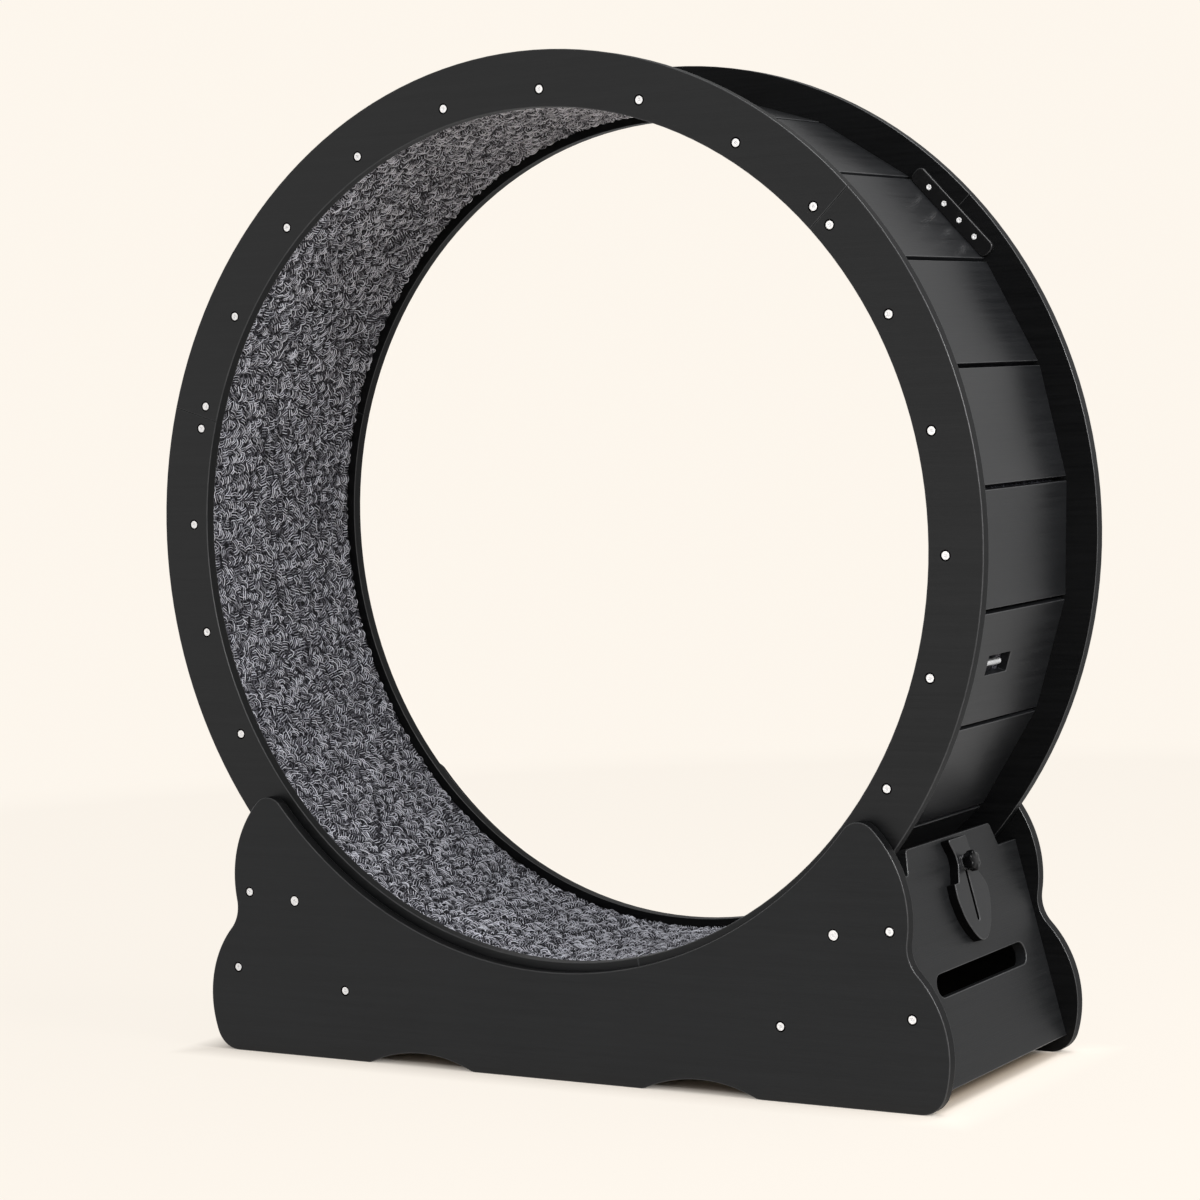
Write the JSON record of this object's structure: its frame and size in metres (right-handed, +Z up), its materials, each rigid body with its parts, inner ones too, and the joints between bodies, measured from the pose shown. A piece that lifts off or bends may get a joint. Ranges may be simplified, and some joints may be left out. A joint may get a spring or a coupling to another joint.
{
  "type": "cat exercise wheel",
  "caption": "Carpet-lined running wheel of board rings and planks on hidden rollers in a low base, with a slide latch that locks the wheel.",
  "frame": {"origin": "on the floor, under the middle of the wheel", "axes": "+Z up, +Y from the front side panel to the rear one along the wheel's axis, +X towards the end panel with the latch"},
  "size_m": [1.1999, 0.384, 1.276],
  "materials": {
    "board_black": "matte",
    "board_satin": "satin",
    "carpet": "looped pile",
    "zinc_steel": "satin",
    "bearing_steel": "satin",
    "roller_rubber": "matte",
    "plate_plastic": "matte",
    "knob_plastic": "gloss"
  },
  "bodies": {
    "base": {"front_panel": "board_black", "rear_panel": "board_black", "left_end_panel": "board_satin", "right_end_panel": "board_satin", "left_brace": "board_satin", "right_brace": "board_satin", "base_screws": "zinc_steel", "roller_bolts": "zinc_steel", "roller_washers": "zinc_steel", "roller_nuts": "zinc_steel", "latch_bolt": "zinc_steel"},
    "wheel": {"front_ring_1": "board_black", "front_ring_2": "board_black", "front_ring_3": "board_black", "rear_ring_1": "board_black", "rear_ring_2": "board_black", "rear_ring_3": "board_black", "tread_01": "board_satin", "tread_02": "board_satin", "tread_03": "board_satin", "tread_04": "board_satin", "tread_05": "board_satin", "tread_06": "board_satin", "tread_07": "board_satin", "tread_08": "board_satin", "tread_09": "board_satin", "tread_10": "board_satin", "tread_11": "board_satin", "tread_12": "board_satin", "tread_13": "board_satin", "tread_14": "board_satin", "tread_15": "board_satin", "tread_16": "board_satin", "tread_17": "board_satin", "tread_18": "board_satin", "tread_19": "board_satin", "tread_20": "board_satin", "tread_21": "board_satin", "tread_22": "board_satin", "tread_23": "board_satin", "tread_24": "board_satin", "carpet_liner": "carpet", "strike_pins": "zinc_steel", "front_joint_plates": "plate_plastic", "rear_joint_plates": "plate_plastic", "plate_screws": "zinc_steel", "front_ring_screws": "zinc_steel", "rear_ring_screws": "zinc_steel"},
    "front_left_roller": {"roller_1": "roller_rubber", "roller_bearings_1": "bearing_steel"},
    "front_right_roller": {"roller_2": "roller_rubber", "roller_bearings_2": "bearing_steel"},
    "rear_left_roller": {"roller_3": "roller_rubber", "roller_bearings_3": "bearing_steel"},
    "rear_right_roller": {"roller_4": "roller_rubber", "roller_bearings_4": "bearing_steel"},
    "latch": {"latch_plate": "board_satin"},
    "knob": {"latch_washer": "zinc_steel", "latch_knob": "knob_plastic"}
  },
  "joints": [
    {"name": "wheel_spin", "type": "hinge", "parent": "base", "child": "wheel", "pos_m": [0, 0, 0.676], "axis": [0, 1, 0], "continuous": true},
    {"name": "front_left_roller_spin", "type": "hinge", "parent": "base", "child": "front_left_roller", "pos_m": [-0.3983, -0.164, 0.2057], "axis": [0, 1, 0], "continuous": true},
    {"name": "front_right_roller_spin", "type": "hinge", "parent": "base", "child": "front_right_roller", "pos_m": [0.3983, -0.164, 0.2057], "axis": [0, 1, 0], "continuous": true},
    {"name": "rear_left_roller_spin", "type": "hinge", "parent": "base", "child": "rear_left_roller", "pos_m": [-0.3983, 0.164, 0.2057], "axis": [0, 1, 0], "continuous": true},
    {"name": "rear_right_roller_spin", "type": "hinge", "parent": "base", "child": "rear_right_roller", "pos_m": [0.3983, 0.164, 0.2057], "axis": [0, 1, 0], "continuous": true},
    {"name": "latch_slide", "type": "slide", "parent": "base", "child": "latch", "axis": [-0.2419, 0, 0.9703], "range_m": [0, 0.042]},
    {"name": "knob_turn", "type": "hinge", "parent": "base", "child": "knob", "pos_m": [0.46763, 0, 0.26418], "axis": [0.9703, 0, 0.2419], "range_deg": [0, 360]}
  ],
  "couplings": [
    {"joint": "front_left_roller_spin", "follows": "wheel_spin", "ratio": -37.5},
    {"joint": "front_right_roller_spin", "follows": "wheel_spin", "ratio": -37.5},
    {"joint": "rear_left_roller_spin", "follows": "wheel_spin", "ratio": -37.5},
    {"joint": "rear_right_roller_spin", "follows": "wheel_spin", "ratio": -37.5}
  ]
}
